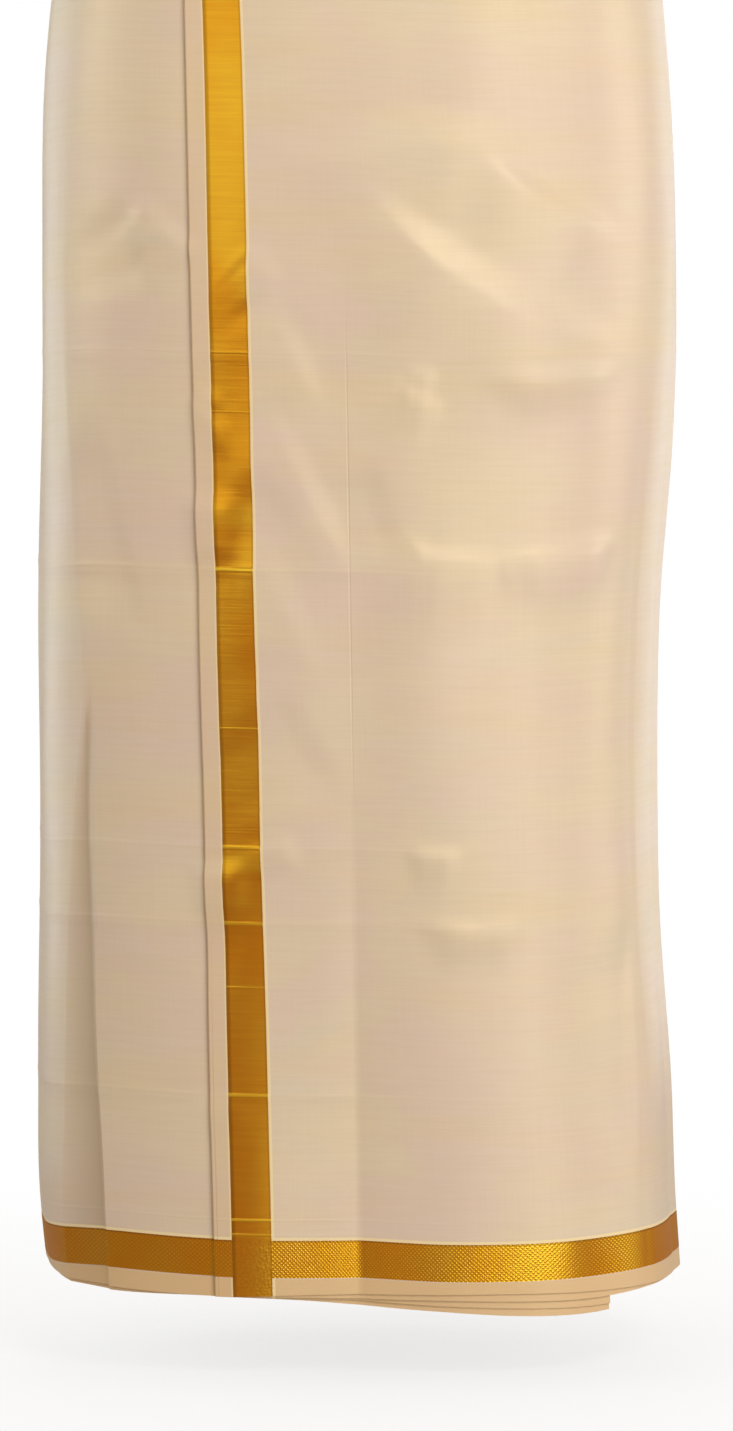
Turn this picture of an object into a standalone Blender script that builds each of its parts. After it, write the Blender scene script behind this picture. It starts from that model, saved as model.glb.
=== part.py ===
"""A dhoti as it is worn: one long cloth with woven gold borders, wrapped round into a hollow tube.

The outer wrap crosses the front and ends in a free edge near the -X side. The same cloth goes
round the back and passes under the outer wrap, where its other end hangs a little lower.
The top is turned down outwards at the waist. The gold borders lie flush in shallow seats.

Metres, +Z up. The front faces -Y and the free edge is at -X. The origin is the middle of the waist.
Angles go round from the middle of the front, towards +X, in degrees.
"""
import math
from collections import namedtuple

import bmesh
import bpy
import numpy as np

# The cloth
WALL = 0.0022                     # the doubled cloth
GAP = 0.0003                      # between pieces that touch
LAYER = WALL + GAP                # from one wrap to the next
HEM = -0.977                      # waist to hem, as worn
ROUNDNESS = 2.6                   # 2 is an ellipse, more is squarer
HIP = -0.45                       # where distances round the cloth are measured

# The gold borders
GOLD_WIDTH = 0.023
GOLD_THICKNESS = 0.0008
GOLD_SEAT = GOLD_THICKNESS + GAP
SELVEDGE = 0.0105                 # plain cloth outside a border

# The lines that run from the waist to the hem
FREE_EDGE_AT_WAIST = -0.1083      # across the front, from its middle
FREE_EDGE_AT_HEM = -0.0861
CREASE_AT_WAIST = -0.0125
CREASE_AT_HEM = 0.0026
INNER_END = 57.5                  # where the wrap underneath ends
SIDE_SEAM = 100.0                 # where the stretches meet, just behind each side

# The turned-down waist
FOLD_DROP = 0.075
FOLD_WALL = 0.0025
FOLD_LIP = 0.010                  # how far it reaches down inside
FOLD_STEP = 5.0                   # the turn over which it steps down past the free edge
ROLL = 0.004                      # the height of its rounded top
ROLL_STEPS = 4
FOLD_BULGE = 0.0015               # how far the fold stands out below its top
FOLD_WAVER = 0.003                # how uneven its lower edge is

# The pleat near the -X side opens downwards, and closes past its far line over a short turn
PLEAT_CLOSES = 5.0

Section = namedtuple("Section", "height left right front back")
SECTIONS = (
    Section(0.000, 0.158, 0.158, 0.112, 0.112),
    Section(-0.060, 0.170, 0.168, 0.119, 0.121),
    Section(-0.130, 0.184, 0.182, 0.127, 0.131),
    Section(-0.220, 0.195, 0.1925, 0.134, 0.139),
    Section(-0.340, 0.1980, 0.1980, 0.136, 0.139),
    Section(-0.450, 0.1985, 0.1950, 0.135, 0.136),
    Section(-0.570, 0.1990, 0.1870, 0.134, 0.133),
    Section(-0.740, 0.1995, 0.1875, 0.134, 0.131),
    Section(-0.860, 0.2005, 0.1960, 0.135, 0.133),
    Section(-0.930, 0.2005, 0.1985, 0.136, 0.135),
    Section(-0.990, 0.1950, 0.2030, 0.136, 0.136),
)

Hem = namedtuple("Hem", "angle hem gold_top")
HEMS = (
    Hem(-180.0, -0.977, -0.9435),
    Hem(-120.0, -0.976, -0.9450),
    Hem(-80.0, -0.974, -0.9465),
    Hem(-60.0, -0.976, -0.9415),
    Hem(-35.0, -0.978, -0.9425),
    Hem(0.0, -0.977, -0.9440),
    Hem(30.0, -0.977, -0.9465),
    Hem(58.0, -0.978, -0.9455),
    Hem(90.0, -0.979, -0.9445),
    Hem(130.0, -0.977, -0.9435),
    Hem(180.0, -0.977, -0.9435),
)

UnderHem = namedtuple("UnderHem", "angle lower")
UNDER_HEMS = (
    UnderHem(-SIDE_SEAM, 0.0),
    UnderHem(-34.0, 0.0),
    UnderHem(-14.0, 0.002),
    UnderHem(2.0, 0.0045),
    UnderHem(23.0, 0.0075),
    UnderHem(40.0, 0.0095),
    UnderHem(53.0, 0.0095),
    UnderHem(SIDE_SEAM, 0.0060),
)

Pleat = namedtuple("Pleat", "height near far depth")
PLEATS = (
    Pleat(0.000, -65.0, -67.0, 0.0),
    Pleat(-0.250, -66.0, -68.0, 0.0),
    Pleat(-0.390, -67.5, -69.5, 0.0006),
    Pleat(-0.530, -62.5, -64.5, 0.0010),
    Pleat(-0.610, -60.7, -62.7, 0.0015),
    Pleat(-0.740, -58.6, -65.5, 0.0050),
    Pleat(-0.860, -58.0, -68.2, 0.0075),
    Pleat(-0.990, -56.8, -69.2, 0.0090),
)

# Each fold is a soft ridge, or a trough where its depth is negative, between two places.
# A place is metres round the cloth from the middle of the front, and its height.
Fold = namedtuple("Fold", "top_round top_height low_round low_height width depth")
FOLDS = (
    Fold(-0.066, -0.270, -0.020, -0.400, 0.016, -0.0025),
    Fold(-0.066, -0.410, -0.008, -0.560, 0.014, 0.0035),
    Fold(-0.066, -0.500, -0.015, -0.610, 0.012, 0.0025),
    Fold(-0.050, -0.600, -0.008, -0.680, 0.014, -0.0020),
    Fold(0.012, -0.300, 0.130, -0.385, 0.020, 0.0035),
    Fold(0.110, -0.280, 0.170, -0.330, 0.014, 0.0020),
    Fold(0.182, -0.740, 0.186, -0.960, 0.012, -0.0030),
    Fold(-0.140, -0.290, -0.125, -0.560, 0.016, -0.0025),
    Fold(0.262, -0.300, 0.268, -0.960, 0.022, -0.0050),
    Fold(0.345, -0.240, 0.352, -0.960, 0.026, 0.0050),
    Fold(0.425, -0.300, 0.420, -0.960, 0.026, -0.0065),
    Fold(0.500, -0.260, 0.492, -0.960, 0.024, 0.0045),
    Fold(-0.500, -0.300, -0.488, -0.960, 0.028, -0.0055),
    Fold(-0.415, -0.250, -0.425, -0.960, 0.026, 0.0055),
    Fold(-0.335, -0.320, -0.345, -0.960, 0.022, -0.0050),
    Fold(-0.268, -0.360, -0.272, -0.960, 0.020, 0.0030),
)
# The pressed crease lies at the bottom of a shallow valley down the front
CREASE_DEPTH = 0.009              # at the hem
CREASE_STARTS = -0.60
CREASE_NEAR = 0.085               # how far the valley reaches towards the border
CREASE_FAR = 0.100                # and the other way
NEAR_SLOPE = 2.0                  # its sides are steepest beside the crease
FAR_SLOPE = 1.5

FADE_SHARE = 0.4                  # a fold that reaches the hem grows over this share of its length
REACHES_HEM = -0.95

# How finely each stretch is divided
BODY_ROWS = 19
LOWEST_BODY_ROW = -0.905
GOLD_COLUMNS = 2
ROUND_SAMPLES = 721
NUDGE = 0.05                      # the turn used to find which way the cloth faces
SAME_POINT = 0.000001
SHARP_ANGLE = 40.0

CREAM = (0.783, 0.610, 0.402)
GOLD = (0.665, 0.342, 0.040)


def column(rows, name):
    return np.array([getattr(row, name) for row in rows])


def smooth_read(rows, key, name, places):
    """Read one column of a table at places between its rows, along a smooth curve."""
    keys = column(rows, key)
    values = column(rows, name)
    order = np.argsort(keys)
    keys = keys[order]
    values = values[order]
    slopes = np.gradient(values, keys)
    places = np.clip(places, keys[0], keys[-1])
    before = np.clip(np.searchsorted(keys, places) - 1, 0, len(keys) - 2)
    after = before + 1
    span = keys[after] - keys[before]
    t = (places - keys[before]) / span
    start = (1 + 2 * t) * (1 - t) ** 2 * values[before]
    end = t ** 2 * (3 - 2 * t) * values[after]
    leaving = t * (1 - t) ** 2 * span * slopes[before]
    arriving = t ** 2 * (t - 1) * span * slopes[after]
    return start + end + leaving + arriving


def wrapped(angles):
    """Bring angles into the turn between -180 and 180 degrees."""
    return (np.asarray(angles, dtype=float) + 180.0) % 360.0 - 180.0


def plain_radius(angles, heights):
    """The distance out from the middle to the smooth outer surface, without its folds."""
    turn = np.radians(angles)
    left = smooth_read(SECTIONS, "height", "left", heights)
    right = smooth_read(SECTIONS, "height", "right", heights)
    front = smooth_read(SECTIONS, "height", "front", heights)
    back = smooth_read(SECTIONS, "height", "back", heights)
    half_width = np.where(np.sin(turn) >= 0, right, left)
    half_depth = np.where(np.cos(turn) >= 0, front, back)
    across = np.abs(np.sin(turn)) / half_width
    along = np.abs(np.cos(turn)) / half_depth
    return (across ** ROUNDNESS + along ** ROUNDNESS) ** (-1 / ROUNDNESS)


def metres_round(angles):
    """The distance round the cloth from the middle of the front, at hip height."""
    samples = np.linspace(-180.0, 180.0, ROUND_SAMPLES)
    radius = plain_radius(samples, np.full(ROUND_SAMPLES, HIP))
    x = radius * np.sin(np.radians(samples))
    y = radius * np.cos(np.radians(samples))
    steps = np.hypot(np.diff(x), np.diff(y))
    distance = np.concatenate(([0.0], np.cumsum(steps)))
    distance -= distance[ROUND_SAMPLES // 2]
    return np.interp(wrapped(angles), samples, distance)


def fold_relief(fold, distance, heights):
    """How far one soft fold lifts the cloth, fading at both ends."""
    run = fold.low_round - fold.top_round
    fall = fold.low_height - fold.top_height
    length = math.hypot(run, fall)
    along = ((distance - fold.top_round) * run + (heights - fold.top_height) * fall) / length ** 2
    aside = ((distance - fold.top_round) * fall - (heights - fold.top_height) * run) / length
    fade = np.clip((1 - np.abs(2 * along - 1)) / (2 * FADE_SHARE), 0.0, 1.0)
    if fold.low_height < REACHES_HEM:
        fade = np.clip(along / FADE_SHARE, 0.0, 1.0)
    fade = fade * fade * (3 - 2 * fade)
    return fold.depth * fade * np.exp(-(aside / fold.width) ** 2)


def front_angle(x, heights):
    """The angle of a place on the front, given how far across it is."""
    side = np.where(np.asarray(x) >= 0, 1.0, -1.0)
    right = smooth_read(SECTIONS, "height", "right", heights)
    left = smooth_read(SECTIONS, "height", "left", heights)
    half_width = np.where(side > 0, right, left)
    half_depth = smooth_read(SECTIONS, "height", "front", heights)
    depth = half_depth * (1 - (np.abs(x) / half_width) ** ROUNDNESS) ** (1 / ROUNDNESS)
    return np.degrees(np.arctan2(x, depth))


def line_angle(at_waist, at_hem, heights):
    """The angle of a straight line that runs down the front."""
    x = at_waist + (at_hem - at_waist) * heights / HEM
    return front_angle(x, heights)


def crease_relief(angles, heights):
    """The valley with the pressed crease, growing down to the hem."""
    aside = metres_round(angles) - metres_round(crease(heights))
    grow = np.clip((CREASE_STARTS - heights) / (CREASE_STARTS - HEM), 0.0, 1.0)
    near = np.clip(1 + aside / CREASE_NEAR, 0.0, 1.0) ** NEAR_SLOPE
    far = np.clip(1 - aside / CREASE_FAR, 0.0, 1.0) ** FAR_SLOPE
    return -CREASE_DEPTH * grow * np.where(aside < 0, near, far)


def pleat_relief(angles, heights):
    """A pleat that opens downwards: it slopes in from its near line and closes past its far one."""
    near = smooth_read(PLEATS, "height", "near", heights)
    far = smooth_read(PLEATS, "height", "far", heights)
    depth = smooth_read(PLEATS, "height", "depth", heights)
    sloping = np.clip((near - angles) / (near - far), 0.0, 1.0)
    closing = np.clip((angles - far + PLEAT_CLOSES) / PLEAT_CLOSES, 0.0, 1.0)
    return -depth * sloping * closing


def outer_radius(angles, heights):
    """The distance out from the middle to the outermost surface, with its folds."""
    angles = wrapped(angles)
    distance = metres_round(angles)
    radius = plain_radius(angles, heights)
    radius = radius + crease_relief(angles, heights)
    radius = radius + pleat_relief(angles, heights)
    for fold in FOLDS:
        radius = radius + fold_relief(fold, distance, heights)
    return radius


def cloth_points(angles, heights, lift):
    """Points of the cloth, lifted square off its outermost surface by a distance, in or out."""
    places = []
    for offset in (-NUDGE, 0.0, NUDGE):
        radius = outer_radius(angles + offset, heights)
        turn = np.radians(angles + offset)
        places.append((radius * np.sin(turn), -radius * np.cos(turn)))
    along_x = places[2][0] - places[0][0]
    along_y = places[2][1] - places[0][1]
    length = np.hypot(along_x, along_y)
    x = places[1][0] + lift * along_y / length
    y = places[1][1] - lift * along_x / length
    return np.stack((x, y, heights), axis=-1)


def turned(angle, distance):
    """Turn an angle on by a distance along the cloth."""
    radius = plain_radius(wrapped(angle), np.full(np.shape(angle), HIP))
    return angle + np.degrees(distance / radius)


def gold_left(heights):
    return turned(line_angle(FREE_EDGE_AT_WAIST, FREE_EDGE_AT_HEM, heights), SELVEDGE)


def gold_right(heights):
    return turned(line_angle(FREE_EDGE_AT_WAIST, FREE_EDGE_AT_HEM, heights), SELVEDGE + GOLD_WIDTH)


def side_angle(side, inset=0.0):
    """A side seam as a line, moved along the cloth by half the gap and an inset."""
    def line(heights):
        return turned(np.full(np.shape(heights), side), inset)
    return line


def pleat_line(name, turn=0.0):
    def line(heights):
        return smooth_read(PLEATS, "height", name, heights) + turn
    return line


def free_edge(heights):
    return line_angle(FREE_EDGE_AT_WAIST, FREE_EDGE_AT_HEM, heights)


def crease(heights):
    return line_angle(CREASE_AT_WAIST, CREASE_AT_HEM, heights)


def inner_end(heights):
    return np.full(np.shape(heights), INNER_END)


def between(lines, steps, heights):
    """Angles of evenly spaced columns between lines, one row for each height."""
    angles = []
    for first, last, count in zip(lines, lines[1:], steps):
        start = first(heights)
        end = last(heights)
        angles += [start + (end - start) * step / count for step in range(count)]
    angles.append(lines[-1](heights))
    return np.stack(angles, axis=-1)


def body_heights():
    """The heights of the rows above the hem border, the same on every stretch."""
    waist = [-ROLL, -FOLD_DROP / 2, -FOLD_DROP]
    body = np.linspace(-FOLD_DROP, LOWEST_BODY_ROW, BODY_ROWS + 1)[1:]
    return np.concatenate((waist, body))


Row = namedtuple("Row", "kind value in_gold")


def panel_rows():
    """The rows of a stretch from the waist down, with a doubled row at each edge of the gold."""
    rows = [Row("height", height, False) for height in body_heights()]
    rows.append(Row("gold_top", 0.0, False))
    rows.append(Row("gold_top", 0.0, True))
    rows.append(Row("gold_bottom", 0.0, True))
    rows.append(Row("gold_bottom", 0.0, False))
    rows.append(Row("hem", 0.0, False))
    return rows


def row_heights(row, angles, lower):
    """The height of each point of a row, given the angles of its columns."""
    turn = wrapped(angles)
    gold_top = smooth_read(HEMS, "angle", "gold_top", turn)
    if row.kind == "gold_top":
        return gold_top + row.value
    if row.kind == "gold_bottom":
        return gold_top - GOLD_WIDTH + row.value
    if row.kind == "hem":
        return smooth_read(HEMS, "angle", "hem", turn) - lower(turn)
    return np.full(np.shape(angles), row.value)


def no_drop(angles):
    return np.zeros(np.shape(angles))


def under_drop(angles):
    return smooth_read(UNDER_HEMS, "angle", "lower", angles)


def grid_of(rows, lines, steps, lift_of, lower=no_drop):
    """Place a grid of rows and columns on the cloth. lift_of gives each point's lift."""
    points = []
    for row in rows:
        guess = np.array([row.value if row.kind == "height" else HEM])
        angles = between(lines, steps, guess)[0]
        heights = row_heights(row, angles, lower)
        points.append(cloth_points(angles, heights, lift_of(row, angles)))
    return np.array(points)


def joined(surface, name, material, collection):
    """Make a closed wall from its outer and inner grids of points."""
    outer, inner = surface
    rows, columns = outer.shape[:2]
    mesh = bmesh.new()
    out = [[mesh.verts.new(point) for point in row] for row in outer]
    within = [[mesh.verts.new(point) for point in row] for row in inner]
    for i in range(rows - 1):
        for j in range(columns - 1):
            mesh.faces.new((out[i][j], out[i + 1][j], out[i + 1][j + 1], out[i][j + 1]))
            mesh.faces.new((within[i][j], within[i][j + 1], within[i + 1][j + 1], within[i + 1][j]))
        mesh.faces.new((out[i][0], within[i][0], within[i + 1][0], out[i + 1][0]))
        mesh.faces.new((out[i][-1], out[i + 1][-1], within[i + 1][-1], within[i][-1]))
    for j in range(columns - 1):
        mesh.faces.new((out[0][j], out[0][j + 1], within[0][j + 1], within[0][j]))
        mesh.faces.new((out[-1][j], within[-1][j], within[-1][j + 1], out[-1][j + 1]))
    return finished(mesh, name, material, collection)


def finished(mesh, name, material, collection):
    """Weld the doubled points of a mesh, shade it and put it in the scene as an object."""
    bmesh.ops.remove_doubles(mesh, verts=mesh.verts, dist=SAME_POINT)
    bmesh.ops.recalc_face_normals(mesh, faces=mesh.faces)
    data = bpy.data.meshes.new(name)
    mesh.to_mesh(data)
    mesh.free()
    data.shade_smooth()
    data.set_sharp_from_angle(angle=math.radians(SHARP_ANGLE))
    data.materials.append(material)
    piece = bpy.data.objects.new(name, data)
    collection.objects.link(piece)
    return piece


def flat_lift(lift):
    def lift_of(row, angles):
        return np.full(np.shape(angles), lift)
    return lift_of


def seated(lift, in_end_border):
    """Lift a stretch's outer points, sunk into the seat where a gold border lies."""
    def lift_of(row, angles):
        sunk = np.full(np.shape(angles), lift)
        if row.in_gold:
            sunk -= GOLD_SEAT
        else:
            sunk[in_end_border] -= GOLD_SEAT
        return sunk
    return lift_of


FRONT_LINES = (
    free_edge,
    gold_left,
    gold_left,
    gold_right,
    gold_right,
    crease,
    inner_end,
    side_angle(SIDE_SEAM, -GAP / 2),
)
FRONT_STEPS = (1, 1, GOLD_COLUMNS, 1, 7, 13, 10)
END_BORDER = slice(2, 3 + GOLD_COLUMNS)

UNDER_LEFT_LINES = (
    side_angle(-SIDE_SEAM, GAP / 2),
    pleat_line("far", -PLEAT_CLOSES),
    pleat_line("far"),
    pleat_line("near"),
    free_edge,
)
UNDER_LEFT_STEPS = (6, 2, 2, 5)
UNDER_RIGHT_LINES = FRONT_LINES[:7]
UNDER_RIGHT_STEPS = FRONT_STEPS[:6]

BACK_TURN = 360.0 - 2 * SIDE_SEAM
BACK_LINES = (side_angle(SIDE_SEAM, GAP / 2), side_angle(360.0 - SIDE_SEAM, -GAP / 2))
BACK_STEPS = (30,)


def back_lift(extra):
    """The back stretch goes in by one layer on its way from the right side to the left."""
    def lift_of(row, angles):
        share = (angles - SIDE_SEAM) / BACK_TURN
        sunk = extra - LAYER * share
        return sunk - (GOLD_SEAT if row.in_gold else 0.0)
    return lift_of


def without_seat(lift_of):
    """The same lift with no seat for the gold, for an inner face."""
    def lift(row, angles):
        return lift_of(row._replace(in_gold=False), angles)
    return lift


def front_wrap(cream, collection):
    rows = panel_rows()
    outer = grid_of(rows, FRONT_LINES, FRONT_STEPS, seated(0.0, END_BORDER))
    inner = grid_of(rows, FRONT_LINES, FRONT_STEPS, flat_lift(-WALL))
    return joined((outer, inner), "front_wrap", cream, collection)


def back_wrap(cream, collection):
    rows = panel_rows()
    outer = grid_of(rows, BACK_LINES, BACK_STEPS, back_lift(0.0))
    inner = grid_of(rows, BACK_LINES, BACK_STEPS, without_seat(back_lift(-WALL)))
    return joined((outer, inner), "back_wrap", cream, collection)


def under_wrap(cream, collection):
    rows = panel_rows()
    lines = UNDER_LEFT_LINES + UNDER_RIGHT_LINES[1:]
    steps = UNDER_LEFT_STEPS + UNDER_RIGHT_STEPS
    nowhere = slice(0, 0)
    outer = grid_of(rows, lines, steps, seated(-LAYER, nowhere), under_drop)
    inner = grid_of(rows, lines, steps, flat_lift(-LAYER - WALL), under_drop)
    return joined((outer, inner), "under_wrap", cream, collection)


def gold_rows():
    """The two rows of a hem border, each a gap in from the edge of its seat."""
    return [Row("gold_top", -GAP, False), Row("gold_bottom", GAP, False)]


def shifted(line, distance):
    def moved(heights):
        return turned(line(heights), distance)
    return moved


def hem_border(name, lines, steps, lift_of, gold, collection):
    rows = gold_rows()

    def inner_lift(row, angles):
        return lift_of(row, angles) - GOLD_THICKNESS

    outer = grid_of(rows, lines, steps, lift_of)
    inner = grid_of(rows, lines, steps, inner_lift)
    return joined((outer, inner), name, gold, collection)


def end_border(gold, collection):
    """The border along the free edge, from the waist to the very hem."""
    rows = [row for row in panel_rows() if not (row.kind.startswith("gold") and row.in_gold)]
    lines = (shifted(gold_left, GAP), shifted(gold_right, -GAP))
    steps = (GOLD_COLUMNS,)
    outer = grid_of(rows, lines, steps, flat_lift(0.0))
    inner = grid_of(rows, lines, steps, flat_lift(-GOLD_THICKNESS))
    return joined((outer, inner), "gold_end_border", gold, collection)


def gold_borders(gold, collection):
    end_border(gold, collection)
    hem_border("gold_hem_corner", (free_edge, shifted(gold_left, -GAP)), (1,),
               flat_lift(0.0), gold, collection)
    hem_border("gold_hem_front", (shifted(gold_right, GAP),) + FRONT_LINES[5:], FRONT_STEPS[4:],
               flat_lift(0.0), gold, collection)
    hem_border("gold_hem_back", BACK_LINES, BACK_STEPS, back_lift(0.0), gold, collection)
    hem_border("gold_hem_under", UNDER_LEFT_LINES + UNDER_RIGHT_LINES[1:],
               UNDER_LEFT_STEPS + UNDER_RIGHT_STEPS, flat_lift(-LAYER), gold, collection)


def waist_angles():
    """The columns of the turned-down waist: those of the stretches that it covers."""
    height = np.array([-ROLL])
    left = between(UNDER_LEFT_LINES, UNDER_LEFT_STEPS, height)[0]
    front = between(FRONT_LINES, FRONT_STEPS, height)[0]
    back = between(BACK_LINES, BACK_STEPS, height)[0]
    step = left[-1] - FOLD_STEP
    left = np.sort(np.append(left[:-1], step))
    return np.unique(np.round(np.concatenate((left, front, back[1:-1])), 6))


def waist_lift(angles):
    """How far the outermost stretch lies from the outer surface, round the whole waist."""
    height = np.full(np.shape(angles), -ROLL)
    edge = free_edge(height)
    lift = np.zeros(np.shape(angles))
    behind = angles > SIDE_SEAM
    lift[behind] = -LAYER * (angles[behind] - SIDE_SEAM) / BACK_TURN
    left = angles < edge
    lift[left] = -LAYER * np.clip((edge - angles)[left] / FOLD_STEP, 0.0, 1.0)
    return lift


def waist_profile():
    """The fold's section, as pairs of an offset from the outermost surface and a height."""
    outside = GAP + FOLD_WALL
    lip_face = -(2 * WALL + 2 * GAP)
    inside = lip_face - WALL
    middle = (outside + inside) / 2
    half = (outside - inside) / 2
    rows = [(GAP, -FOLD_DROP), (outside, -FOLD_DROP), (outside + FOLD_BULGE, -FOLD_DROP / 2)]
    for step in range(ROLL_STEPS + 1):
        turn = math.pi * step / ROLL_STEPS
        rows.append((middle + half * math.cos(turn), ROLL * (math.sin(turn) - 1)))
    rows += [(inside, -FOLD_LIP), (lip_face, -FOLD_LIP), (lip_face, GAP - ROLL)]
    rows += [(GAP, GAP - ROLL), (GAP, -FOLD_DROP / 2)]
    return rows


def waist_fold(cream, collection):
    """The top of the cloth turned down outwards, over the edges of every stretch."""
    angles = waist_angles()
    follow = waist_lift(angles)
    inner_line = -(2 * WALL + 2 * GAP)
    rings = []
    for offset, height in waist_profile():
        share = np.clip((offset - inner_line) / (GAP - inner_line), 0.0, 1.0)
        heights = np.full(len(angles), height)
        if height == -FOLD_DROP:
            heights += FOLD_WAVER * np.sin(3 * np.radians(angles)) * np.cos(np.radians(angles - 40))
        rings.append(cloth_points(angles, heights, offset + share * follow))
    mesh = bmesh.new()
    loops = [[mesh.verts.new(point) for point in ring] for ring in rings]
    for first, second in zip(loops, loops[1:] + loops[:1]):
        for j in range(len(first)):
            k = (j + 1) % len(first)
            mesh.faces.new((first[j], first[k], second[k], second[j]))
    return finished(mesh, "waist_fold", cream, collection)


def cloth_material(name, colour, roughness, metallic):
    material = bpy.data.materials.new(name)
    material.use_nodes = True
    shader = material.node_tree.nodes["Principled BSDF"]
    shader.inputs["Base Color"].default_value = (*colour, 1.0)
    shader.inputs["Roughness"].default_value = roughness
    shader.inputs["Metallic"].default_value = metallic
    return material


def main():
    for old in list(bpy.data.objects):
        bpy.data.objects.remove(old, do_unlink=True)
    collection = bpy.data.collections.new("dhoti")
    bpy.context.scene.collection.children.link(collection)
    cream = cloth_material("cream_cloth", CREAM, 0.6, 0.0)
    gold = cloth_material("gold_border", GOLD, 0.35, 0.6)
    front_wrap(cream, collection)
    back_wrap(cream, collection)
    under_wrap(cream, collection)
    waist_fold(cream, collection)
    gold_borders(gold, collection)


main()
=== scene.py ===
import math
from collections import namedtuple

import bpy
import numpy as np
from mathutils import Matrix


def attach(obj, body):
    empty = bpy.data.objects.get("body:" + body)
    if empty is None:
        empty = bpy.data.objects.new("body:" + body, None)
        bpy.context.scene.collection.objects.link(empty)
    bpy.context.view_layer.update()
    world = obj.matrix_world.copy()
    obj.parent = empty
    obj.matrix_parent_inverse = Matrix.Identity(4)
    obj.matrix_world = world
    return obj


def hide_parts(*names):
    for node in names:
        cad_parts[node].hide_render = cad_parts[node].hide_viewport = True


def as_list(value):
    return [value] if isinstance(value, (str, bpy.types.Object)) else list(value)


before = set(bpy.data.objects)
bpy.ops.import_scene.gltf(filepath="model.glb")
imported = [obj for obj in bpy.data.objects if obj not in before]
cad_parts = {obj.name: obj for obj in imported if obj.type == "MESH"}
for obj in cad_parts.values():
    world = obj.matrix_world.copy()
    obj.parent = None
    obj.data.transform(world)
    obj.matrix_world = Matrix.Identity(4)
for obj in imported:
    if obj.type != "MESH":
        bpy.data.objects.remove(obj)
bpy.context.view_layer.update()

# A dhoti as it is worn: one long doubled cloth with woven gold borders, wrapped round as a tube.
# Metres, +Z up. The front faces -Y and the free edge is at -X. The origin is the middle of the waist.
# Angles go round from the middle of the front, towards +X, in degrees.

HEM = -0.977                      # waist to hem, as worn
ROUNDNESS = 2.6                   # 2 is an ellipse, more is squarer
HIP = -0.45                       # where distances round the cloth are measured
LAYER = 0.0025                    # from one wrap of the doubled cloth to the next
PLY = 0.0007                      # one of the two plies
PLY_STEP = 0.0012                 # from the outer ply to the second one
GOLD_WIDTH = 0.023
SELVEDGE = 0.0105                 # plain cloth outside a border
GOLD_PROUD = 0.00012              # a woven border is a hair thicker than the cloth
END_PROUD = GOLD_PROUD * 1.5      # where the borders cross, the end border lies uppermost
GOLD_PLY = 0.0003

# Where the free edge and the pressed crease lie across the front, as straight lines
FREE_EDGE_AT_WAIST = -0.1083
FREE_EDGE_AT_HEM = -0.0861
CREASE_AT_WAIST = -0.0125
CREASE_AT_HEM = 0.0026

INNER_END = 57.5                  # the angle at which the wrap starts inside
SIDE_SEAM = 100.0                 # and at which one stretch meets the next, on each side
BODY_BOTTOM = -0.930              # rows of points above this are level, and below they follow the hem
BORDER_TOP = -0.945
FOLD_DROP = 0.075                 # the turned-down waist
ROLL = 0.004

# How far apart the points of a piece lie
FRONT_ROWS = 0.0036
SECOND_ROWS = 0.012               # the second ply is seen only at the hem and from inside
BORDER_COLUMNS = 0.0030
BORDER_ROWS = 9                   # how many there are across a hem border

# How far the tube reaches from its middle, to each side
Section = namedtuple("Section", "height left right front back")
SECTIONS = (
    Section(0.000, 0.158, 0.158, 0.112, 0.112),
    Section(-0.060, 0.170, 0.168, 0.119, 0.121),
    Section(-0.130, 0.184, 0.182, 0.127, 0.131),
    Section(-0.220, 0.195, 0.1925, 0.134, 0.139),
    Section(-0.340, 0.1980, 0.1980, 0.136, 0.139),
    Section(-0.450, 0.1985, 0.1950, 0.135, 0.136),
    Section(-0.570, 0.1990, 0.1870, 0.134, 0.133),
    Section(-0.740, 0.1995, 0.1875, 0.134, 0.131),
    Section(-0.860, 0.2005, 0.1960, 0.135, 0.133),
    Section(-0.930, 0.2005, 0.1985, 0.136, 0.135),
    Section(-0.990, 0.1950, 0.2030, 0.136, 0.136),
)

# The hem and the top of its border, and how much lower the second ply and the wrap underneath hang
Hem = namedtuple("Hem", "angle hem gold_top second under")
HEMS = (
    Hem(-180.0, -0.977, -0.9435, 0.0015, 0.0),
    Hem(-120.0, -0.976, -0.9450, 0.0020, 0.0),
    Hem(-80.0, -0.974, -0.9465, 0.0005, 0.0),
    Hem(-60.0, -0.976, -0.9415, 0.0025, 0.0),
    Hem(-35.0, -0.978, -0.9425, 0.0002, 0.0),
    Hem(-14.0, -0.977, -0.9435, 0.0018, 0.0020),
    Hem(2.0, -0.977, -0.9440, 0.0030, 0.0045),
    Hem(23.0, -0.977, -0.9460, 0.0038, 0.0075),
    Hem(40.0, -0.977, -0.9463, 0.0050, 0.0095),
    Hem(53.0, -0.978, -0.9457, 0.0045, 0.0095),
    Hem(70.0, -0.979, -0.9450, 0.0015, 0.0070),
    Hem(90.0, -0.979, -0.9445, 0.0006, 0.0060),
    Hem(130.0, -0.977, -0.9435, 0.0020, 0.0),
    Hem(180.0, -0.977, -0.9435, 0.0015, 0.0),
)

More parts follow.
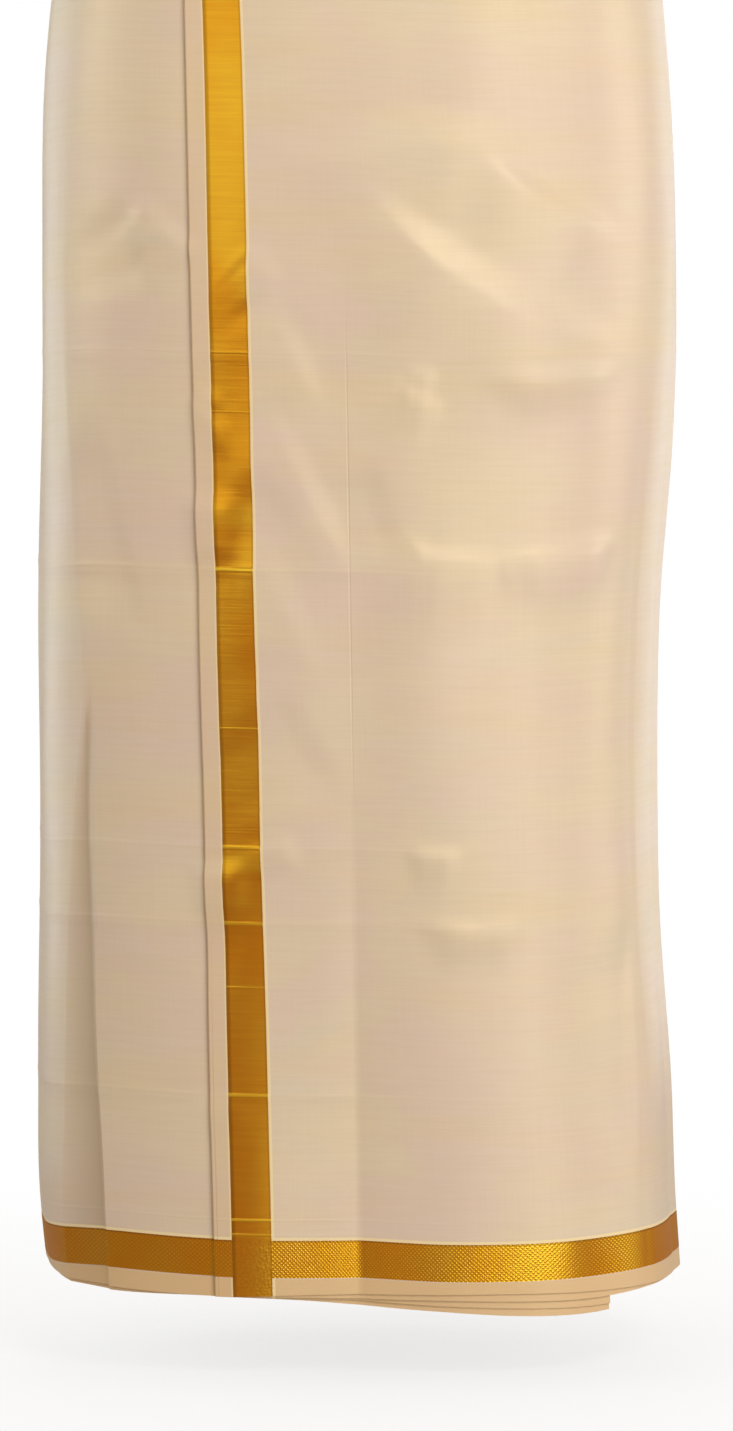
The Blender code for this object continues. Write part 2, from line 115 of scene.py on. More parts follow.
# The pleat at the lower left, between two lines given by their angles
Pleat = namedtuple("Pleat", "height near far depth")
PLEATS = (
    Pleat(0.000, -64.5, -67.0, 0.0),
    Pleat(-0.350, -64.5, -67.0, 0.0),
    Pleat(-0.411, -64.2, -66.6, 0.0),
    Pleat(-0.471, -62.8, -65.0, 0.0),
    Pleat(-0.533, -61.6, -63.6, 0.0),
    Pleat(-0.585, -60.2, -61.8, 0.0),
    Pleat(-0.612, -59.5, -61.0, 0.0008),
    Pleat(-0.640, -59.6, -62.2, 0.0016),
    Pleat(-0.675, -59.9, -63.4, 0.0022),
    Pleat(-0.763, -59.2, -65.4, 0.0028),
    Pleat(-0.829, -58.6, -66.2, 0.0031),
    Pleat(-0.914, -56.8, -66.5, 0.0034),
    Pleat(-0.990, -56.2, -66.6, 0.0036),
)
PLEAT_OPENS = 1.4                 # degrees over which the cloth tucks in behind the near line
# The pleat's inside is painted a shade darker, on top of the real shade of its fold
PLEAT_PAINTED_SHADE_TOP = -0.590          # where the pleat's painted shade starts
PLEAT_PAINTED_SHADE_FADE = 0.05
PAINTED_SHADE_EDGE = 0.7                  # degrees over which the painted shade starts at the far line

# Along the pleat's far line, and above it, the cloth turns sharply round the side.
SIDE_RIDGE = 0.0016
RIDGE_FRONT = 16.0                # degrees over which it fades towards the front
RIDGE_BACK = 4.5
SIDE_RIDGE_TOP = -0.250
SIDE_RIDGE_FADE = 0.15

# The pressed crease lies at the bottom of a shallow valley, whose sides are steepest beside it.
Crease = namedtuple("Crease", "height depth")
CREASES = (
    Crease(-0.300, 0.0),
    Crease(-0.480, 0.0006),
    Crease(-0.660, 0.0018),
    Crease(-0.740, 0.0052),
    Crease(-0.850, 0.0092),
    Crease(-0.990, 0.0110),
)
CREASE_NEAR = 0.082
CREASE_FAR = 0.140
NEAR_SLOPE = 1.5
FAR_SLOPE = 2.2

CREST_DROP = 0.8                  # a fold's crest lies this share of its width below its path
UPPER_SIDE = 1.6                  # above its crest a fold reaches this many widths
UPPER_FLAT = 0.6                  # the share of that reach which is one even slope
LOWER_SIDE = 3.6                  # it falls away more gently below
FOLD_FADE = 0.35                  # the share of its length over which a fold fades at each end
NARROWEST = 0.45                  # how narrow a fold is at its very ends
FOLD_REACH = 0.15                 # beyond this distance round the cloth a fold isn't felt
REACHES_HEM = -0.95

# Folds and drags. A path's points are metres round the cloth from the middle of the front, and height.
Fold = namedtuple("Fold", "path width depth")
FRONT_FOLDS = (
    Fold(((-0.058, -0.280), (0.038, -0.262), (0.110, -0.266)), 0.018, 0.0030),
    Fold(((-0.064, -0.334), (-0.040, -0.361)), 0.008, 0.0018),
    Fold(((-0.061, -0.361), (-0.013, -0.397), (-0.007, -0.430)), 0.012, -0.0007),
    Fold(((-0.056, -0.352), (-0.036, -0.395), (-0.016, -0.440)), 0.008, 0.0014),
    Fold(((-0.054, -0.425), (-0.034, -0.464), (-0.007, -0.518), (-0.002, -0.545)), 0.009, 0.0017),
    Fold(((-0.063, -0.464), (-0.022, -0.527)), 0.010, -0.0010),
    Fold(((-0.062, -0.500), (-0.034, -0.559), (-0.020, -0.600)), 0.010, 0.0012),
    Fold(((-0.049, -0.600), (-0.007, -0.673)), 0.012, -0.0014),
    Fold(((-0.043, -0.691), (-0.034, -0.716)), 0.007, 0.0010),
    Fold(((0.002, -0.294), (0.030, -0.320), (0.060, -0.343), (0.100, -0.368), (0.180, -0.396)),
         0.0155, 0.0064),
    Fold(((0.070, -0.276), (0.115, -0.304), (0.175, -0.332)), 0.010, 0.0050),
    Fold(((0.026, -0.409), (0.050, -0.414)), 0.005, 0.0014),
    Fold(((0.022, -0.412), (0.034, -0.426), (0.056, -0.433)), 0.006, 0.0018),
    Fold(((0.070, -0.414), (0.175, -0.408)), 0.006, 0.0030),
    Fold(((0.026, -0.506), (0.044, -0.521), (0.087, -0.524), (0.100, -0.518)), 0.009, 0.0033),
    Fold(((0.080, -0.525), (0.175, -0.513)), 0.008, 0.0044),
    Fold(((0.028, -0.703), (0.068, -0.705)), 0.004, 0.0020),
    Fold(((0.036, -0.747), (0.075, -0.750), (0.111, -0.744)), 0.005, 0.0026),
    Fold(((0.011, -0.467), (0.026, -0.527)), 0.010, -0.0015),
    Fold(((0.200, -0.728), (0.189, -0.802), (0.186, -0.926)), 0.008, -0.0025),
    Fold(((-0.112, -0.488), (-0.066, -0.490)), 0.010, 0.0016),
    Fold(((-0.112, -0.524), (-0.066, -0.526)), 0.009, -0.0010),
    Fold(((-0.108, -0.712), (-0.062, -0.714)), 0.009, 0.0016),
    Fold(((-0.108, -0.742), (-0.062, -0.744)), 0.010, -0.0008),
    Fold(((-0.105, -0.858), (-0.060, -0.859)), 0.004, 0.0005),
    Fold(((-0.105, -0.425), (-0.078, -0.447), (-0.074, -0.470)), 0.004, 0.0007),
    Fold(((-0.098, -0.420), (-0.078, -0.432)), 0.004, 0.0007),
)
LEFT_FOLDS = (
    Fold(((-0.163, -0.432), (-0.150, -0.504), (-0.131, -0.577)), 0.010, -0.0022),
    Fold(((-0.130, -0.304), (-0.108, -0.334)), 0.008, 0.0018),
    Fold(((-0.117, -0.319), (-0.092, -0.343)), 0.007, 0.0015),
    Fold(((-0.148, -0.304), (-0.127, -0.370)), 0.009, -0.0020),
)
BACK_FOLDS = (
    Fold(((0.262, -0.300), (0.266, -0.640), (0.268, -0.990)), 0.022, -0.0050),
    Fold(((0.345, -0.240), (0.350, -0.600), (0.352, -0.990)), 0.026, 0.0050),
    Fold(((0.425, -0.300), (0.421, -0.640), (0.420, -0.990)), 0.026, -0.0065),
    Fold(((0.500, -0.260), (0.494, -0.600), (0.492, -0.990)), 0.024, 0.0045),
    Fold(((-0.500, -0.300), (-0.490, -0.640), (-0.488, -0.990)), 0.028, -0.0055),
    Fold(((-0.415, -0.250), (-0.423, -0.600), (-0.425, -0.990)), 0.026, 0.0055),
    Fold(((-0.335, -0.320), (-0.343, -0.640), (-0.345, -0.990)), 0.022, -0.0050),
    Fold(((-0.268, -0.360), (-0.271, -0.640), (-0.272, -0.990)), 0.020, 0.0030),
    Fold(((0.300, -0.310), (0.360, -0.345), (0.430, -0.350)), 0.014, 0.0022),
    Fold(((-0.300, -0.330), (-0.370, -0.372), (-0.450, -0.380)), 0.013, 0.0022),
    Fold(((0.330, -0.500), (0.400, -0.520), (0.460, -0.512)), 0.010, 0.0016),
    Fold(((-0.330, -0.530), (-0.400, -0.548), (-0.470, -0.540)), 0.010, 0.0016),
)

# The cloth was sold folded flat, and its pressed lines still run round it. Each is a low ridge from one
# distance round the cloth to another, and a highlight is painted along it.
Press = namedtuple("Press", "height depth start end")
PRESSES = (
    Press(-0.404, 0.00025, -0.60, 0.60),
    Press(-0.535, 0.00035, -0.60, 0.02),
    Press(-0.704, 0.00025, -0.60, 0.06),
    Press(-0.750, 0.00030, -0.60, 0.11),
    Press(-0.856, 0.00025, -0.60, 0.02),
)
# Painted highlights along the pressed lines, on the cream cloth and on the ribbed gold
PressedLine = namedtuple("PressedLine", "height half strength")
PRESSED_LINES = (
    PressedLine(-0.404, 0.0007, 0.4),
    PressedLine(-0.440, 0.0005, 0.2),
    PressedLine(-0.5030, 0.0070, 0.3),
    PressedLine(-0.5355, 0.0011, 1.0),
    PressedLine(-0.632, 0.0005, 0.3),
    PressedLine(-0.7045, 0.0010, 0.6),
    PressedLine(-0.7130, 0.0060, 0.3),
    PressedLine(-0.751, 0.0010, 0.5),
    PressedLine(-0.790, 0.0005, 0.3),
    PressedLine(-0.856, 0.0010, 0.7),
    PressedLine(-0.9325, 0.0007, 0.8),
    PressedLine(-0.9415, 0.0006, 0.4),
)
PRESS_WIDTH = 0.0028
PRESS_FADE = 0.03

# The slight waviness of any hanging cloth. Rates are in radians a metre round the cloth and up it, and
# each ripple swells and fades with height at its own rate.
Ripple = namedtuple("Ripple", "share round_rate lean start swell swell_start")
RIPPLES = (
    Ripple(1.0, 61, 4, 1.3, 9.1, 0.4),
    Ripple(0.6, 97, -11, 0.7, 17, 2.1),
    Ripple(0.5, 38, 23, 0.0, 0, math.pi / 2),
)
RIPPLE_DEPTH = 0.0005
RIPPLE_FADE = 0.2                 # the waist is smooth


def smooth_read(rows, name, places):
    """Read one column of a table at places along its first column, on a smooth curve between its rows."""
    keys = np.array([row[0] for row in rows])
    values = np.array([getattr(row, name) for row in rows])
    order = np.argsort(keys)
    keys = keys[order]
    values = values[order]
    slopes = np.gradient(values, keys)
    places = np.clip(places, keys[0], keys[-1])
    before = np.clip(np.searchsorted(keys, places) - 1, 0, len(keys) - 2)
    after = before + 1
    span = keys[after] - keys[before]
    t = (places - keys[before]) / span
    start = (1 + 2 * t) * (1 - t) ** 2 * values[before]
    end = t ** 2 * (3 - 2 * t) * values[after]
    leaving = t * (1 - t) ** 2 * span * slopes[before]
    arriving = t ** 2 * (t - 1) * span * slopes[after]
    return start + end + leaving + arriving


def eased(share):
    share = np.clip(share, 0.0, 1.0)
    return share * share * (3 - 2 * share)


def wrapped(angles):
    """Bring angles into the turn between -180 and 180 degrees."""
    return (np.asarray(angles, dtype=float) + 180.0) % 360.0 - 180.0


def plain_radius(angles, heights):
    """The distance out from the middle to the smooth outer surface, without its folds."""
    turn = np.radians(angles)
    left = smooth_read(SECTIONS, "left", heights)
    right = smooth_read(SECTIONS, "right", heights)
    front = smooth_read(SECTIONS, "front", heights)
    back = smooth_read(SECTIONS, "back", heights)
    half_width = np.where(np.sin(turn) >= 0, right, left)
    half_depth = np.where(np.cos(turn) >= 0, front, back)
    across = np.abs(np.sin(turn)) / half_width
    along = np.abs(np.cos(turn)) / half_depth
    return (across ** ROUNDNESS + along ** ROUNDNESS) ** (-1 / ROUNDNESS)


ROUND_SAMPLES = 1441
SAMPLE_ANGLES = np.linspace(-180.0, 180.0, ROUND_SAMPLES)


def round_table():
    """Distances round the cloth at hip height, from the middle of the front, for even angles."""
    radius = plain_radius(SAMPLE_ANGLES, np.full(ROUND_SAMPLES, HIP))
    x = radius * np.sin(np.radians(SAMPLE_ANGLES))
    y = radius * np.cos(np.radians(SAMPLE_ANGLES))
    distance = np.concatenate(([0.0], np.cumsum(np.hypot(np.diff(x), np.diff(y)))))
    return distance - distance[ROUND_SAMPLES // 2]


ROUND_TABLE = round_table()
WHOLE_ROUND = ROUND_TABLE[-1] - ROUND_TABLE[0]


def metres_round(angles):
    """The distance round the cloth, which keeps growing past the middle of the back."""
    turns = np.floor((np.asarray(angles) + 180.0) / 360.0)
    return np.interp(wrapped(angles), SAMPLE_ANGLES, ROUND_TABLE) + turns * WHOLE_ROUND


def front_angle(x, heights):
    """The angle of a place on the front, given how far across it is."""
    side = np.where(np.asarray(x) >= 0, 1.0, -1.0)
    right = smooth_read(SECTIONS, "right", heights)
    left = smooth_read(SECTIONS, "left", heights)
    half_width = np.where(side > 0, right, left)
    half_depth = smooth_read(SECTIONS, "front", heights)
    depth = half_depth * (1 - (np.abs(x) / half_width) ** ROUNDNESS) ** (1 / ROUNDNESS)
    return np.degrees(np.arctan2(x, depth))


def line_angle(at_waist, at_hem, heights):
    """The angle of a straight line that runs down the front."""
    return front_angle(at_waist + (at_hem - at_waist) * heights / HEM, heights)


def turned(angle, distance):
    """Turn an angle on by a distance along the cloth."""
    radius = plain_radius(wrapped(angle), np.full(np.shape(angle), HIP))
    return angle + np.degrees(distance / radius)


def fold_relief(fold, distance, heights):
    """How far a fold lifts the cloth. Its steep upper side, along its path, faces the light."""
    lift = np.zeros(np.shape(distance))
    close = np.abs(distance - np.mean([x for x, z in fold.path])) < FOLD_REACH
    if not close.any():
        return lift
    x_here = distance[close]
    z_here = heights[close]
    nearest = np.full(x_here.shape, np.inf)
    below = np.zeros(x_here.shape, dtype=bool)
    along = np.zeros(x_here.shape)
    lengths = [math.hypot(b[0] - a[0], b[1] - a[1]) for a, b in zip(fold.path, fold.path[1:])]
    whole = sum(lengths)
    so_far = 0.0
    for (x, z), (next_x, next_z), length in zip(fold.path, fold.path[1:], lengths):
        run = next_x - x
        fall = next_z - z
        share = np.clip(((x_here - x) * run + (z_here - z) * fall) / length ** 2, 0, 1)
        away = np.hypot(x_here - x - share * run, z_here - z - share * fall)
        closer = away < nearest
        nearest = np.where(closer, away, nearest)
        below = np.where(closer, (x_here - x) * fall - (z_here - z) * run > 0, below)
        along = np.where(closer, (so_far + share * length) / whole, along)
        so_far += length
    fade = eased(along / FOLD_FADE)
    if fold.path[-1][1] > REACHES_HEM:
        fade = fade * eased((1 - along) / FOLD_FADE)
    width = fold.width * (NARROWEST + (1 - NARROWEST) * fade)
    aside = np.where(below, -nearest, nearest) + CREST_DROP * width
    share = np.clip(aside / (UPPER_SIDE * width), 0.0, 1.0)
    past = np.clip(share - UPPER_FLAT, 0.0, None)
    upper = 1 - 2 / (1 + UPPER_FLAT) * (share - past ** 2 / (2 * (1 - UPPER_FLAT)))
    lower = np.exp(-(aside / (LOWER_SIDE * width)) ** 2)
    lift[close] = fold.depth * fade * np.where(aside > 0, upper, lower)
    return lift


def crease_relief(distance, heights):
    depth = smooth_read(CREASES, "depth", heights)
    aside = distance - metres_round(crease_line(heights))
    near = np.clip(1 + aside / CREASE_NEAR, 0.0, 1.0) ** NEAR_SLOPE
    far = np.clip(1 - aside / CREASE_FAR, 0.0, 1.0) ** FAR_SLOPE
    return -depth * np.where(aside < 0, near, far)


def pleat_relief(angles, heights):
    """A pleat that opens downwards: it tucks in behind its near line and comes out to its far one."""
    near = smooth_read(PLEATS, "near", heights)
    far = smooth_read(PLEATS, "far", heights)
    depth = smooth_read(PLEATS, "depth", heights)
    tucked = eased((near - angles) / PLEAT_OPENS)
    coming_out = np.clip((angles - far) / (near - far), 0.0, 1.0)
    ridge = SIDE_RIDGE * eased((SIDE_RIDGE_TOP - heights) / SIDE_RIDGE_FADE)
    reach = np.where(angles > far, RIDGE_FRONT, RIDGE_BACK)
    return ridge * np.exp(-np.abs(angles - far) / reach) - depth * tucked * coming_out


def press_relief(distance, heights):
    lift = np.zeros(np.shape(distance))
    for press in PRESSES:
        reach = eased((distance - press.start) / PRESS_FADE) * eased((press.end - distance) / PRESS_FADE)
        lift += press.depth * reach * np.exp(-np.abs(heights - press.height) / PRESS_WIDTH)
    return lift


def ripple_relief(distance, heights):
    lift = np.zeros(np.shape(distance))
    for ripple in RIPPLES:
        wave = np.sin(distance * ripple.round_rate + ripple.lean * heights + ripple.start)
        lift += ripple.share * wave * np.sin(heights * ripple.swell + ripple.swell_start)
    return RIPPLE_DEPTH * lift * eased(-heights / RIPPLE_FADE)


def outer_radius(angles, heights):
    """The distance out from the middle to the outermost surface, with its folds."""
    turn = wrapped(angles)
    distance = metres_round(turn)
    radius = plain_radius(turn, heights) + crease_relief(distance, heights)
    radius += pleat_relief(turn, heights) + press_relief(distance, heights)
    radius += ripple_relief(distance, heights)
    for fold in FRONT_FOLDS + LEFT_FOLDS + BACK_FOLDS:
        radius += fold_relief(fold, distance, heights)
    return radius


NUDGE = 0.05                      # degrees to each side of a point, between which the cloth's run is taken


def cloth_points(angles, heights, lift):
    """Points of the cloth, lifted square off its outermost surface by a distance, in or out."""
    x = []
    y = []
    for offset in (-NUDGE, 0.0, NUDGE):
        radius = outer_radius(angles + offset, heights)
        turn = np.radians(angles + offset)
        x.append(radius * np.sin(turn))
        y.append(-radius * np.cos(turn))
    along_x = x[2] - x[0]
    along_y = y[2] - y[0]
    length = np.hypot(along_x, along_y)
    return np.stack((x[1] + lift * along_y / length, y[1] - lift * along_x / length, heights), axis=-1)


# Lines from the waist to the hem, between which the columns of a piece are spread

def free_edge(heights):
    return line_angle(FREE_EDGE_AT_WAIST, FREE_EDGE_AT_HEM, heights)


def crease_line(heights):
    return line_angle(CREASE_AT_WAIST, CREASE_AT_HEM, heights)


def at_angle(angle):
    def line(heights):
        return np.full(np.shape(heights), angle)
    return line


def beside(line, distance):
    def moved(heights):
        return turned(line(heights), distance)
    return moved


def pleat_line(name, turn=0.0):
    def line(heights):
        return smooth_read(PLEATS, name, heights) + turn
    return line


gold_left = beside(free_edge, SELVEDGE)
gold_right = beside(free_edge, SELVEDGE + GOLD_WIDTH)

FRONT_LINES = (free_edge, gold_left, gold_right, crease_line, at_angle(INNER_END), at_angle(SIDE_SEAM))
UNDER_LINES = (
    at_angle(-SIDE_SEAM),
    pleat_line("far"),
    pleat_line("near", -PLEAT_OPENS),
    pleat_line("near"),
    free_edge,
    crease_line,
    at_angle(INNER_END),
)
BACK_LINES = (at_angle(SIDE_SEAM), at_angle(180.0), at_angle(360.0 - SIDE_SEAM))


def column_shares(lines, spacing):
    """Where the columns lie, as pairs of a line's number and the share of the way to the next."""
    places = []
    height = np.array([HEM / 2])
    for number, (first, last) in enumerate(zip(lines, lines[1:])):
        gap = float(abs(metres_round(last(height)) - metres_round(first(height)))[0])
        step = spacing[number] if isinstance(spacing, tuple) else spacing
        count = max(1, round(gap / step))
        places += [(number, k / count) for k in range(count)]
    return places + [(len(lines) - 2, 1.0)]


def column_angles(lines, places, heights):
    edges = [line(heights) for line in lines]
    return np.stack([edges[n] + (edges[n + 1] - edges[n]) * share for n, share in places], axis=-1)


def body_rows(spacing):
    """Heights from the waist down to the hem border, with a row on every pressed line."""
    top = -ROLL
    rows = list(np.linspace(top, BODY_BOTTOM, round((top - BODY_BOTTOM) / spacing) + 1))
    for press in PRESSES:
        nearest = min(range(len(rows)), key=lambda i: abs(rows[i] - press.height))
        rows[nearest] = press.height
    return np.array(rows)


def hem_of(angles, second, under):
    """The height of a hem, with what the second ply and the wrap underneath hang lower."""
    turn = wrapped(angles)
    hem = smooth_read(HEMS, "hem", turn)
    if second:
        hem = hem - smooth_read(HEMS, "second", turn)
    if under:
        hem = hem - smooth_read(HEMS, "under", turn)
    return hem


def gold_top_of(angles):
    return smooth_read(HEMS, "gold_top", wrapped(angles))


def panel_grid(lines, spacing, row_spacing, second=False, under=False):
    """Angles and heights of every point of a stretch, rows from the waist down to the hem."""
    places = column_shares(lines, spacing)
    body = body_rows(row_spacing)
    angles = column_angles(lines, places, body)
    heights = np.repeat(body[:, None], len(places), axis=1)
    low_rows = round((BODY_BOTTOM - HEM) / row_spacing)
    low_angles = column_angles(lines, places, np.linspace(BODY_BOTTOM, HEM, low_rows + 1)[1:])
    shares = np.linspace(0.0, 1.0, low_rows + 1)[1:, None]
    low_heights = BODY_BOTTOM + (hem_of(low_angles, second, under) - BODY_BOTTOM) * shares
    return np.vstack((angles, low_angles)), np.vstack((heights, low_heights))


SHARP_RIM = 50                    # degrees at which an edge is drawn sharp
SHARP_ROLL = 60


def new_piece(name, points, faces, sharp, places):
    """A smooth mesh that knows where each of its points lies on the cloth, and how much painted shade the
    pleat lays on it.
    """
    mesh = bpy.data.meshes.new(name)
    mesh.from_pydata(points.tolist(), [], faces.tolist())
    mesh.shade_smooth()
    mesh.set_sharp_from_angle(angle=math.radians(sharp))
    place = mesh.attributes.new("cloth_place", "FLOAT_VECTOR", "POINT")
    place.data.foreach_set("vector", places[:, :3].astype(np.float32).ravel())
    pleat_painted_shade = mesh.attributes.new("pleat_painted_shade", "FLOAT", "POINT")
    pleat_painted_shade.data.foreach_set("value", places[:, 3].astype(np.float32))
    mesh.validate()
    piece = bpy.data.objects.new(name, mesh)
    bpy.context.scene.collection.objects.link(piece)
    return piece


def pleat_shade_mask(angles, heights):
    """1 within the pleat, where its cloth is painted a shade darker, and 0 outside it."""
    turn = wrapped(angles)
    near = smooth_read(PLEATS, "near", heights)
    far = smooth_read(PLEATS, "far", heights)
    inside = eased((near - turn) / PLEAT_OPENS) * eased((turn - far) / PAINTED_SHADE_EDGE)
    return inside * eased((PLEAT_PAINTED_SHADE_TOP - heights) / PLEAT_PAINTED_SHADE_FADE)


def cloth_places(angles, heights):
    """Each point's metres in from the free edge, above the hem border's foot and past the crease.

    The fourth number is 1 within the pleat, where painted shade lies.
    """
    level = np.clip(heights, HEM, 0.0)
    edge = free_edge(level)
    radius = plain_radius(wrapped(edge), np.full(np.shape(edge), HIP))
    from_edge = np.radians(angles - edge) * radius
    above = heights - (gold_top_of(angles) - GOLD_WIDTH)
    from_crease = metres_round(angles) - metres_round(crease_line(level))
    return np.stack((from_edge, above, from_crease, pleat_shade_mask(angles, level)), axis=-1)


def shell(name, angles, heights, lift, thickness):
    """A thin closed shell that follows the cloth, its outer face lifted off it by a distance."""
    rows, columns = angles.shape
    count = rows * columns
    index = np.arange(count).reshape(rows, columns)
    a = index[:-1, :-1].ravel()
    b = index[1:, :-1].ravel()
    c = index[1:, 1:].ravel()
    d = index[:-1, 1:].ravel()
    front = np.stack((a, b, c, d), axis=1)
    back = np.stack((a, d, c, b), axis=1) + count
    rims = []
    for edge in (index[:, 0][::-1], index[0, :], index[:, -1], index[-1, :][::-1]):
        rims.append(np.stack((edge[:-1], edge[1:], edge[1:] + count, edge[:-1] + count), axis=1))
    faces = np.concatenate([front, back] + rims)
    outer = cloth_points(angles, heights, lift).reshape(-1, 3)
    inner = cloth_points(angles, heights, lift - thickness).reshape(-1, 3)
    places = cloth_places(angles, heights).reshape(-1, 4)
    return new_piece(name, np.concatenate((outer, inner)), faces, SHARP_RIM, np.tile(places, (2, 1)))


def no_step(angles):
    return np.zeros(np.shape(angles))


def back_step(angles):
    """The back stretch goes in by one layer on its way from the right side to the left."""
    return -LAYER * (angles - SIDE_SEAM) / (360.0 - 2 * SIDE_SEAM)


def under_step(angles):
    return np.full(np.shape(angles), -LAYER)


# The stretches of the wrap, how far apart their points lie, and how each steps in under the one before.
# A tuple of columns has one spacing for each strip between two lines.
Stretch = namedtuple("Stretch", "name lines columns rows second_columns step under")
STRETCHES = (
    Stretch("front", FRONT_LINES, (0.0030, 0.0030, 0.0030, 0.0032, 0.0040), FRONT_ROWS, 0.008,
            no_step, False),
    Stretch("back", BACK_LINES, 0.0046, 0.0050, 0.010,
            back_step, False),
    Stretch("under", UNDER_LINES, (0.0034, 0.0026, 0.0030, 0.0032, 0.0120, 0.0120), FRONT_ROWS, 0.009,
            under_step, True),
)


def ply(stretch, second=False):
    """One ply of a stretch, from the waist to its hem."""
    columns = stretch.second_columns if second else stretch.columns
    rows = SECOND_ROWS if second else stretch.rows
    angles, heights = panel_grid(stretch.lines, columns, rows, second, stretch.under)
    lift = stretch.step(angles) - (PLY_STEP if second else 0.0)
    name = stretch.name + ("_second_ply" if second else "_cloth")
    return shell(name, angles, heights, lift, PLY)


def hem_border(name, lines, spacing, step):
    """A gold border along the hem, a hair proud of the ply that it is woven into."""
    places = column_shares(lines, spacing)
    levels = np.linspace(BORDER_TOP, BORDER_TOP - GOLD_WIDTH, BORDER_ROWS)
    angles = column_angles(lines, places, levels)
    shares = np.linspace(0.0, 1.0, BORDER_ROWS)[:, None]
    heights = gold_top_of(angles) - GOLD_WIDTH * shares
    return shell(name, angles, heights, step(angles) + GOLD_PROUD, GOLD_PLY)


def end_border(name):
    """The gold border beside the free edge, from the waist to the very hem."""
    angles, heights = panel_grid((gold_left, gold_right), BORDER_COLUMNS, FRONT_ROWS)
    return shell(name, angles, heights, END_PROUD, GOLD_PLY)


# The turned-down waist: how far out its faces lie from the cloth, and how it follows the wrap
ROLL_INSIDE = -0.0050
ROLL_OUTSIDE = 0.0030
ROLL_PLY = 0.002
ROLL_BELLY = 0.0017               # how far its outer face bulges
ROLL_EDGE_IN = 0.0005             # its lower edge starts just off the cloth
ROLL_EDGE_OUT = 0.7               # and leads out to this share of the outer face
ROLL_EDGE = 0.97                  # the share of its drop where the lower edge turns into the face
ROLL_FACE = 0.92                  # the share of its drop that the bulging face takes up
ROLL_FACE_RINGS = 14
ROLL_CROWN_RINGS = 10
ROLL_COLUMNS = 361
ROLL_DEPTH_INSIDE = 0.010         # how far its inner lip reaches down
STEP_IN_TURN = 5.0                # degrees past the free edge over which it steps in by a layer
ROLL_RIPPLE = 0.0006
ROLL_RIPPLES = 23
ROLL_RIPPLE_LEAN = 5
ROLL_UNEVEN = 0.003               # its lower edge wanders by this much
ROLL_WANDERS = 3
ROLL_WANDER_ANGLE = 40
OFF_THE_BORDERS = 1.0             # metres, which keep the borders' tints off the roll


def wrap_step(angles):
    """How far the outermost wrap has gone in, all the way round at the waist."""
    free = float(free_edge(np.array([-ROLL]))[0])
    step = np.where(angles > SIDE_SEAM, back_step(angles), 0.0)
    step = np.where(angles < -SIDE_SEAM, back_step(angles + 360.0), step)
    left = (angles >= -SIDE_SEAM) & (angles < free)
    return np.where(left, -LAYER * np.clip((free - angles) / STEP_IN_TURN, 0.0, 1.0), step)


def roll_profile():
    """The roll's lower edge and outer face: how far out, and the share of its drop."""
    profile = [(ROLL_EDGE_IN, -1.0), (ROLL_OUTSIDE * ROLL_EDGE_OUT, -1.0), (ROLL_OUTSIDE, -ROLL_EDGE)]
    for k in range(1, ROLL_FACE_RINGS):
        bulge = ROLL_BELLY * math.sin(math.pi * k / ROLL_FACE_RINGS)
        profile.append((ROLL_OUTSIDE + bulge, -ROLL_EDGE + ROLL_FACE * k / ROLL_FACE_RINGS))
    return profile


def roll_crown():
    """Its rounded top: how far out, and the share of the way up."""
    middle = (ROLL_OUTSIDE + ROLL_INSIDE - ROLL_PLY) / 2
    half = (ROLL_OUTSIDE - ROLL_INSIDE + ROLL_PLY) / 2
    turns = [math.pi * k / ROLL_CROWN_RINGS for k in range(ROLL_CROWN_RINGS + 1)]
    return [(middle + half * math.cos(turn), math.sin(turn)) for turn in turns]


def roll_rings(angles):
    """Rings round the roll, from its lower edge over the top to the inner lip: lifts and heights."""
    follow = wrap_step(angles)
    turn = np.radians(angles)
    wander = ROLL_UNEVEN * np.sin(ROLL_WANDERS * turn) * np.cos(np.radians(angles - ROLL_WANDER_ANGLE))
    rings = []
    for offset, share in roll_profile():
        ripple = ROLL_RIPPLE * np.sin(turn * ROLL_RIPPLES + ROLL_RIPPLE_LEAN * share)
        ripple = ripple * math.sin(math.pi * min(1, -share))
        rings.append((offset + follow + ripple, share * (FOLD_DROP + wander)))
    for offset, share in roll_crown():
        keep = np.clip((offset - ROLL_INSIDE) / (ROLL_OUTSIDE - ROLL_INSIDE), 0, 1)
        rings.append((offset + keep * follow, np.full(len(angles), ROLL * (share - 1))))
    for offset in (ROLL_INSIDE - ROLL_PLY, ROLL_INSIDE):
        rings.append((np.full(len(angles), offset), np.full(len(angles), -ROLL_DEPTH_INSIDE)))
    return rings


def waist_roll(name):
    """The top of the cloth turned down outwards, its plies rolled into a soft band."""
    angles = np.linspace(-180.0, 180.0, ROLL_COLUMNS)[:-1]
    points = np.array([cloth_points(angles, heights, offset) for offset, heights in roll_rings(angles)])
    levels, columns = points.shape[:2]
    index = np.arange(levels * columns).reshape(levels, columns)
    ahead = np.roll(index, -1, axis=1)
    above = np.roll(index, -1, axis=0)
    corner = np.roll(ahead, -1, axis=0)
    faces = np.stack((index.ravel(), ahead.ravel(), corner.ravel(), above.ravel()), axis=1)
    distance = np.tile(metres_round(angles), levels)
    points = points.reshape(-1, 3)
    far = np.full(len(points), OFF_THE_BORDERS)
    places = np.stack((distance + far, points[:, 2] + far, far, np.zeros(len(points))), axis=-1)
    return new_piece(name, points, faces, SHARP_ROLL, places)


